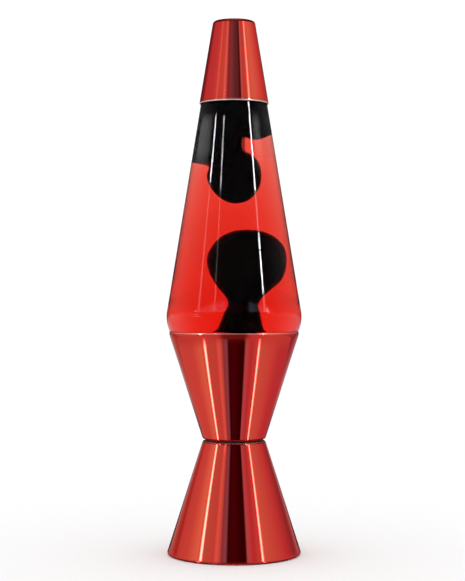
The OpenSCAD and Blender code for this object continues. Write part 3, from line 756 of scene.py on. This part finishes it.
class LAMP_OT_wax(bpy.types.Operator):
    """Make the wax: a column that stands on its pool, and a drop that hangs from the ceiling"""

    bl_idname = "lava_lamp.wax"
    bl_label = "Wax"

    def execute(self, context):
        lamp = settings()
        finish = FINISHES["black_wax"]
        self.column(lamp, finish)
        self.canopy(lamp, finish)
        return {"FINISHED"}

    def column(self, lamp, finish):
        """The column is a stack of circles: at each level above the lip it has a radius and a
        centre to the right of the axis, joined by a smooth curve."""
        lip_z = level("upper_cone", True) / MM
        stack = np.array(
            [
                # radius, centre, height above the lip
                (0, 2.5, -9.6),
                (12, 2.5, -9.6),
                (23.5, 2.5, -8.6),
                (24.5, 2.5, -6.5),
                (21.5, 2.2, -3.0),
                (17.5, 2.2, 0.0),
                (12.2, 3.3, 5.6),
                (9.1, 4.2, 12),
                (7.9, 4.8, 17),
                (9.6, 5.3, 22),
                (13.6, 5.9, 27.4),
                (17.6, 6.8, 33.2),
                (19.9, 6.9, 39.4),
                (20.9, 6.8, 46.0),
                (20.4, 7.0, 52.4),
                (18.6, 7.4, 57.6),
                (15.6, 7.3, 62.1),
                (11.8, 7.2, 65.4),
                (6.4, 7.1, 67.9),
                (0, 7.1, 68.7),
            ]
        )
        radius, centre, height = (smooth_line(stack, 6) * MM).T
        angle = np.linspace(0, TURN, WAX_ROUND[0], endpoint=False)[None]
        radius = np.maximum(radius, 0)[:, None]
        z = height[:, None] + lip_z * MM + 0 * angle
        grid = np.stack([centre[:, None] + radius * np.cos(angle), radius * np.sin(angle), z], -1)
        mesh = sheet_mesh("wax_column", grid)
        column = piece(mesh, None, finish, ["wax_pool", "wax_column_head"])
        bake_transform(column)

    def canopy(self, lamp, finish):
        """The canopy has one profile on its left and another on its right. Each point of the
        surface lies between the two profiles' points, by a share that goes smoothly from left to
        right as the cosine of its angle does. The lift grows as the square of the angle's sine. Where
        the side is flat, the radius is divided by the angle's cosine, up to a largest one."""
        rim_z = level("cap", False)

        def wall(z):
            """Radius of the wax next to the glass at a height above the cap's rim, both in mm."""
            slant = lamp.glass.wall / math.cos(math.atan(lamp.glass.taper))
            return (glass_radius(lamp, rim_z + z * MM) - slant - lamp.wax.film) / MM

        crest = [(0, 0, 22), (11, 0, 22), (wall(20) - 0.6, 0, 20.6), (wall(10), 0, 10), (wall(0), 0, 0)]
        crest = [row + (0, 0) for row in crest]
        # radius, centre, height above the cap's rim, how much higher the front and back are, and how
        # far the side is flat
        left = crest + [
            (wall(-34.5), 0, -34.5, 0, 0),
            (23.8, 0, -39.6, 0, 0),
            (20.0, 0, -42.3, 0, 0),
            (16.4, 0, -43.5, 0, 0),
            (13.8, 0, -44.6, 0, 0),
            (13.1, 0, -46.2, 0, 0),
            (13.4, 0, -47.8, 0, 0),
            (13.9, 0, -49.4, 0, 0),
            (14.1, 0, -51.4, 0, 0),
            (13.9, 0, -54.0, 0, 0),
            (13.1, 0.2, -57.8, 0, 0),
            (11.3, 0.5, -62.3, 0, 0),
            (8.3, 0.8, -66.6, 0, 0),
            (4.3, 1.0, -69.8, 0, 0),
            (0, 1.0, -70.8, 0, 0),
        ]
        right = crest + [
            (wall(-12.5), 0, -12.5, 0, 0),
            (21.0, 0, -19.8, 0.5, 0),
            (17.0, 0, -24.0, 1.5, 0),
            (12.8, 0, -26.2, 2.5, 0),
            (9.0, 0, -26.4, 3.0, 0),
            (6.3, 0, -24.8, 2.5, 0.4),
            (4.9, 0, -26.6, 1.5, 1),
            (4.9, 0, -33.2, 0, 1),
            (9.0, 0, -36.8, 0, 0.4),
            (12.6, 0, -41.8, 0, 0),
            (13.9, 0.2, -49.6, 0, 0),
            (12.9, 0.5, -58.4, 0, 0),
            (9.4, 0.8, -65.4, 0, 0),
            (5.0, 1.0, -69.4, 0, 0),
            (0, 1.0, -70.8, 0, 0),
        ]
        left, right = smooth_line(left, 8) * MM, smooth_line(right, 8) * MM
        angle = np.linspace(0, TURN, WAX_ROUND[1], endpoint=False)[None, :, None]
        share = np.clip((np.cos(angle) + 0.3) / 0.6, 0, 1)
        share = share * share * (3 - 2 * share)
        both = (1 - share) * left[:, None] + share * right[:, None]
        radius, centre, height, lift, flat = np.moveaxis(both, -1, 0)
        radius = np.maximum(radius, 0)
        angle = angle[..., 0]
        facet = np.minimum(radius / np.maximum(np.cos(angle), 0.01), FLAT_R)
        radius = radius + np.clip(flat / MM, 0, 1) * np.maximum(facet - radius, 0)
        height = height + lift * np.sin(angle) ** 2
        grid = np.stack(
            [centre + radius * np.cos(angle), radius * np.sin(angle), rim_z + height], -1
        )
        mesh = sheet_mesh("wax_canopy", grid[::-1])
        canopy = piece(mesh, None, finish, ["wax_ceiling", "wax_drop"])
        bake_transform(canopy)


# ---- The studio's cards: the direction of the metal that shows each one, in degrees round from
# the front, and the tone of its light. A card's own place round the lamp is twice as far. ----

STRIP = (12.0, 12.0, 12.0)
CENTRE_CARDS = [
    (-18.5, (0.58, 0.58, 0.55)),
    (-16, (0.74, 1.15, 1.05)),
    (-13.2, (0.60, 0.75, 0.75)),
    (-11, (0.27, 0.33, 0.50)),
    (-8.4, (0.26, 0.62, 0.98)),
    (-7, (0.22, 0.45, 0.75)),
    (-6, (0.04, 0.01, 0.02)),
    (0, (0.06, 0.01, 0.03)),
    (8, (0.03, 0.00, 0.01)),
    (10.7, (0.04, 0.00, 0.00)),
    (12, (0.42, 0.75, 1.00)),
    (14, (0.52, 0.52, 0.80)),
    (18, (0.47, 0.30, 0.40)),
    (22.5, (0.58, 0.54, 0.62)),
    (25, (0.48, 0.42, 0.37)),
]
UNDER_CARDS = [
    (-80, (0.04, 0.01, 0.02)),
    (-74, (0.45, 0.55, 0.55)),
    (-68, (0.34, 0.45, 0.50)),
    (-63, (0.59, 0.68, 0.66)),
    (-46, (0.61, 0.64, 0.66)),
    (-35, (0.74, 1.28, 0.94)),
    (-31.4, (0.52, 1.00, 0.65)),
    (-31, STRIP),
    (-29.6, STRIP),
    (-29.2, (0.54, 0.75, 0.65)),
    *CENTRE_CARDS,
    (25.4, STRIP),
    (26.2, STRIP),
    (26.8, (0.60, 0.98, 0.80)),
    (40, (0.61, 0.68, 0.66)),
    (51, (0.52, 0.36, 0.52)),
    (76, (0.42, 0.30, 0.45)),
    (81, (0.06, 0.02, 0.03)),
]
BASE_CARDS = [
    (-80, (0.04, 0.01, 0.02)),
    (-75, (0.50, 0.80, 0.85)),
    (-62, (0.38, 0.20, 0.17)),
    (-57, (0.56, 0.57, 0.60)),
    (-45, (0.61, 0.72, 0.65)),
    (-34, (0.78, 1.42, 1.05)),
    (-31.5, (0.48, 0.95, 0.72)),
    (-31.1, STRIP),
    (-29.5, STRIP),
    (-29.1, (0.50, 0.90, 0.75)),
    *CENTRE_CARDS,
    (25.4, STRIP),
    (26.2, STRIP),
    (26.8, (0.64, 1.05, 0.84)),
    (50, (0.54, 0.40, 0.53)),
    (66, (0.25, 0.20, 0.30)),
    (75, (0.50, 0.65, 0.75)),
    (80, (0.04, 0.01, 0.02)),
]
CAP_CARDS = [
    (-79, (0.08, 0.03, 0.05)),
    (-65, (0.23, 0.09, 0.14)),
    (-57, (0.48, 0.38, 0.54)),
    (-40, (0.55, 0.43, 0.54)),
    (-32.4, (0.60, 0.62, 0.64)),
    (-30.4, (0.80, 1.40, 1.45)),
    (-28.2, (0.60, 0.66, 0.60)),
    (-20, (0.60, 0.68, 0.56)),
    (-16.4, (0.76, 1.50, 1.55)),
    (-13.6, (0.50, 0.70, 0.80)),
    (-12, (0.33, 0.28, 0.36)),
    (-9.6, (0.26, 0.20, 0.30)),
    (-6, (0.22, 0.40, 0.58)),
    (2, (0.11, 0.23, 0.40)),
    (7, (0.12, 0.22, 0.30)),
    (9.6, (0.07, 0.03, 0.03)),
    (11.4, (0.10, 0.04, 0.04)),
    (13.4, (0.52, 1.05, 1.25)),
    (17, (0.54, 0.48, 0.48)),
    (24.0, (0.56, 0.80, 0.70)),
    (25.0, (4.8, 4.8, 4.8)),
    (26.6, (4.8, 4.8, 4.8)),
    (27.6, (0.62, 1.20, 0.90)),
    (36, (0.72, 1.33, 1.02)),
    (46, (0.70, 0.86, 0.84)),
    (64, (0.52, 0.33, 0.35)),
    (74, (0.33, 0.24, 0.24)),
    (80, (0.08, 0.03, 0.05)),
]
SIDE_CARDS = [(-80, (0.01, 0.01, 0.01)), (0, (0.015, 0.015, 0.015)), (80, (0.01, 0.01, 0.01))]
SHOULDER_CARDS = [
    (-64, (0.02, 0.02, 0.02)),
    (-59, (1.00, 1.00, 1.00)),
    (-57, (0.50, 0.50, 0.50)),
    (-53, (1.50, 1.50, 1.50)),
    (-50, (0.80, 0.80, 0.80)),
    (-47, (1.60, 1.60, 1.60)),
    (-44, (0.90, 0.90, 0.90)),
    (-41, (1.40, 1.40, 1.40)),
    (-37, (0.60, 0.60, 0.60)),
    (-35, (0.02, 0.02, 0.02)),
    (0, (0.01, 0.01, 0.01)),
    (29, (0.02, 0.02, 0.02)),
    (32, (1.10, 1.20, 1.10)),
    (36, (1.50, 1.60, 1.50)),
    (40, (1.10, 1.20, 1.10)),
    (45, (0.05, 0.05, 0.05)),
    (50, (0.01, 0.01, 0.01)),
]
LIP_CARDS = [
    (-79, (0.10, 0.05, 0.06)),
    (-70, (0.45, 0.45, 0.50)),
    (-30, (0.60, 0.55, 0.55)),
    (-14, (0.50, 0.40, 0.45)),
    (-9, (0.16, 0.10, 0.12)),
    (9, (0.14, 0.08, 0.08)),
    (14, (0.50, 0.40, 0.45)),
    (30, (0.60, 0.55, 0.55)),
    (70, (0.45, 0.45, 0.50)),
    (79, (0.10, 0.05, 0.06)),
]

EDGE_CARDS = [(-60, (0.10, 0.05, 0.06)), (0, (0.12, 0.06, 0.08)), (60, (0.10, 0.05, 0.06))]

# For each ring, the height of its lower edge at the lamp's sides, how much higher that edge is at
# the front, how softly it starts, how far its cards are spread there, how much further for each
# metre above it, and the cards. Sides and edges are in millimetres.
RINGS = (
    (60, -340, 8, 1.12, -1.08, UNDER_CARDS),
    (163, -286, 6, 1.0, 0, LIP_CARDS),
    (-75, 231, 4, 0.95, 1.1, BASE_CARDS),
    (92, 200, 3, 1.0, 0, SIDE_CARDS),
    (296, 134, 16, 1.0, 0, SHOULDER_CARDS),
    (336, 140, 8, 1.0, 0, SIDE_CARDS),
    (353.5, 142, 2, 1.02, 0, CAP_CARDS),
    (430, 157, 4, 1.0, 0, EDGE_CARDS),
)

# Strip lights that the glass reflects: direction, width, lowest and highest point, brightness.
STRIPS = (
    (-30.3, 1.6, 390, 458, 30),
    (-30.3, 1.4, 260, 390, 1.8),
    (-16.2, 1.1, 396, 470, 18),
    (-16.2, 1.1, 272, 396, 1.8),
    (25.8, 1.6, 386, 478, 42),
    (25.8, 1.4, 344, 386, 4),
    (25.8, 1.5, 286, 344, 34),
    (25.8, 1.4, 263, 286, 3),
)


def cards(ring):
    """A ring's cards as the stops of a ramp that goes once round the tent from its back."""
    return [((direction + 90) / 180, tone) for direction, tone in ring]


class LAMP_OT_stage(bpy.types.Operator):
    """Set up the camera, the floor, the daylight and the tent"""

    bl_idname = "lava_lamp.stage"
    bl_label = "Studio"

    def execute(self, context):
        studio = settings().studio
        scene = context.scene
        scene.view_settings.view_transform = "Standard"
        self.camera(scene, studio)
        self.daylight(scene, studio)
        self.floor()
        self.tent(studio)
        return {"FINISHED"}

    def camera(self, scene, studio):
        """A level camera in front of the lamp."""
        data = bpy.data.cameras.new("camera")
        data.sensor_fit = "VERTICAL"
        data.sensor_height = 36
        data.lens = studio.lens
        data.clip_end = 20
        camera = bpy.data.objects.new("camera", data)
        camera.location = (-studio.aside, -studio.distance, studio.height)
        camera.rotation_euler = (math.pi / 2, 0, 0)
        scene.collection.objects.link(camera)
        scene.camera = camera

    def daylight(self, scene, studio):
        """White surroundings. What the metal and the glass reflect past the tent is dimmer."""
        world = bpy.data.worlds.new("daylight")
        scene.world = world
        shader = Shader(world)
        reflected = shader.add("ShaderNodeLightPath", output="Is Glossy Ray")
        refracted = shader.add("ShaderNodeLightPath", output="Is Transmission Ray")
        tone = shader.mix(reflected * (1 - refracted), (1, 1, 1), DIM)
        light = shader.add("ShaderNodeBackground", inputs={"Color": tone, "Strength": studio.daylight})
        shader.finish(light, kind="ShaderNodeOutputWorld")

    def floor(self):
        """A wide pale floor that the metal doesn't reflect."""
        corners = np.array([[-1, -1, 0], [1, -1, 0], [1, 1, 0], [-1, 1, 0]]) * FLOOR_REACH
        mesh = bpy.data.meshes.new("floor")
        mesh.from_pydata(corners.tolist(), [], [(0, 1, 2, 3)])
        floor = bpy.data.objects.new("floor", mesh)
        bpy.context.scene.collection.objects.link(floor)
        finish, shader = new_finish("floor")
        pale = (0.98, 0.98, 0.98)
        shader.finish(shader.principled(Base_Color=pale, Roughness=0.9, Specular_IOR_Level=0.0))
        mesh.materials.append(finish)
        floor.visible_glossy = False

    def tent(self, studio):
        """A round tent that only reflections see: x and y are its radius times the angle's sine and
        minus its cosine. The tone of its cards and strips of light depends on the angle, and it has
        a ring of cards for each part that looks at its height."""
        angle = np.linspace(-math.pi, math.pi, 181)[None]
        height = np.array([-2.0, 3.0])[:, None] * studio.tent_r
        around = (np.sin(angle) + 0 * height, -np.cos(angle) + 0 * height)
        grid = np.stack([around[0] * studio.tent_r, around[1] * studio.tent_r, height + 0 * angle], -1)
        mesh = sheet_mesh("tent", grid, columns_close=False)
        tent = bpy.data.objects.new("tent", mesh)
        bpy.context.scene.collection.objects.link(tent)
        finish, shader = new_finish("tent")
        mesh.materials.append(finish)
        x, y, z = shader.parts(shader.place())
        around = x.sum("ARCTAN2", x, y * -1) * (0.5 / math.pi) + 0.5
        front = shader.add("ShaderNodeMath", {"operation": "COSINE"}, {0: (around - 0.5) * math.pi})
        tone = shader.ramp(around, cards(EDGE_CARDS))
        for side, rise, soft, spread, flare, ring in RINGS:
            height = z - front * (rise * MM)
            above = shader.step(height, (side - soft) * MM, (side + soft) * MM)
            wide = (height - side * MM) * flare + spread
            tone = shader.mix(above, tone, shader.ramp((around - 0.5) / wide + 0.5, cards(ring)))
        full, none = STRIP_SIDES
        for direction, width, low, high, glow in STRIPS:
            place = (direction + 90) / 180
            half = width / 360
            across = shader.step(around, place - half * none, place - half * full)
            across = across * (1 - shader.step(around, place + half * full, place + half * none))
            along = shader.step(z, low * MM - STRIP_SOFT, low * MM + STRIP_SOFT)
            along = along * (1 - shader.step(z, high * MM - STRIP_SOFT, high * MM + STRIP_SOFT))
            tone = shader.mix(across * along, tone, (glow, glow, glow))
        shader.finish(shader.add("ShaderNodeEmission", inputs={"Color": tone}))
        tent.visible_camera = False
        tent.visible_diffuse = False
        tent.visible_transmission = False
        tent.visible_shadow = False
        tent.visible_volume_scatter = False


class LAMP_OT_finishes(bpy.types.Operator):
    """Make the finishes, and give the CAD nodes that stay in view theirs"""

    bl_idname = "lava_lamp.finishes"
    bl_label = "Finishes"

    def execute(self, context):
        lamp = settings()
        lacquered_metal(lamp.metal.tint)
        clear_glass("globe_glass")
        clear_glass("wetted_glass", gleam=0.03)
        dyed_liquid(lamp.glass.dye, lamp.glass.absorption)
        wax_finish(lamp.wax.tint)
        black = (0.02, 0.02, 0.022)
        dress("rubber_feet", moulded("rubber", (0.03, 0.03, 0.03), 0.8, grain=1600))
        dress("bottom_cover", moulded("cover_plastic", black, 0.55))
        dress("cord_gland", moulded("gland_plastic", (0.015, 0.015, 0.015), 0.45))
        dress("waist_spacer", moulded("fibre", (0.012, 0.01, 0.01), 0.7))
        phenolic = moulded("phenolic", (0.03, 0.026, 0.024), 0.4)
        dress("ring_nut", phenolic)
        dress("lampholder_body", phenolic)
        brass = bare_metal("brass", (0.83, 0.62, 0.28), 0.28)
        for node in ("lampholder_sleeve", "lampholder_contact", "terminal_plates"):
            dress(node, brass)
        dress("terminal_screws", bare_metal("zinc_steel", (0.62, 0.63, 0.65), 0.32))
        dress("lead_live", moulded("black_sheath", black, 0.5))
        dress("lead_neutral", moulded("white_sheath", (0.75, 0.74, 0.7), 0.5))
        dress("crimp_connectors", moulded("blue_sheath", (0.03, 0.1, 0.35), 0.4))
        dress("bulb_tip", bare_metal("solder", (0.5, 0.5, 0.47), 0.45))
        dress("bulb_insulator", moulded("black_glass", (0.01, 0.01, 0.012), 0.12))
        dress("bulb_screw_shell", bare_metal("bulb_brass", (0.76, 0.62, 0.38), 0.25))
        dress("bulb_glass", clear_glass("bulb_glass"))
        dress("bulb_stem", clear_glass("stem_glass", tint=(0.93, 0.97, 0.95)))
        dress("bulb_support_wires", bare_metal("nickel_wire", (0.6, 0.58, 0.55), 0.3))
        dress("bulb_filament", bare_metal("tungsten", (0.3, 0.3, 0.31), 0.4))
        dress("crown", bare_metal("tinplate", (0.75, 0.75, 0.76), 0.2))
        dress("crown_liner", moulded("liner", (0.8, 0.76, 0.66), 0.6))
        dress("heating_coil", bare_metal("spring_steel", (0.55, 0.56, 0.58), 0.25))
        return {"FINISHED"}


class LAMP_PT_panel(bpy.types.Panel):
    """The lamp's panel in the sidebar"""

    bl_idname = "LAMP_PT_panel"
    bl_label = "Lava Lamp"
    bl_space_type = "VIEW_3D"
    bl_region_type = "UI"
    bl_category = "Lava Lamp"

    def draw(self, context):
        for operator in OPERATORS:
            self.layout.operator(operator.bl_idname)


class LavaLamp(bpy.types.PropertyGroup):
    """All of the lamp's properties."""

    metal: bpy.props.PointerProperty(type=LampMetal)
    glass: bpy.props.PointerProperty(type=LampGlass)
    wax: bpy.props.PointerProperty(type=LampWax)
    studio: bpy.props.PointerProperty(type=LampStudio)


GROUPS = (LampMetal, LampGlass, LampWax, LampStudio, LavaLamp)
OPERATORS = (LAMP_OT_stage, LAMP_OT_finishes, LAMP_OT_cones, LAMP_OT_cap, LAMP_OT_globe, LAMP_OT_wax)


def register():
    """Registers the classes and the lamp's properties."""
    for item in (*GROUPS, *OPERATORS, LAMP_PT_panel):
        bpy.utils.register_class(item)
    bpy.types.Scene.lava_lamp = bpy.props.PointerProperty(type=LavaLamp)


def unregister():
    """Takes them off again."""
    del bpy.types.Scene.lava_lamp
    for item in reversed((*GROUPS, *OPERATORS, LAMP_PT_panel)):
        bpy.utils.unregister_class(item)


def main():
    """Makes the lamp."""
    register()
    for operator in OPERATORS:
        group, name = operator.bl_idname.split(".")
        getattr(getattr(bpy.ops, group), name)()


if __name__ == "__main__":
    main()
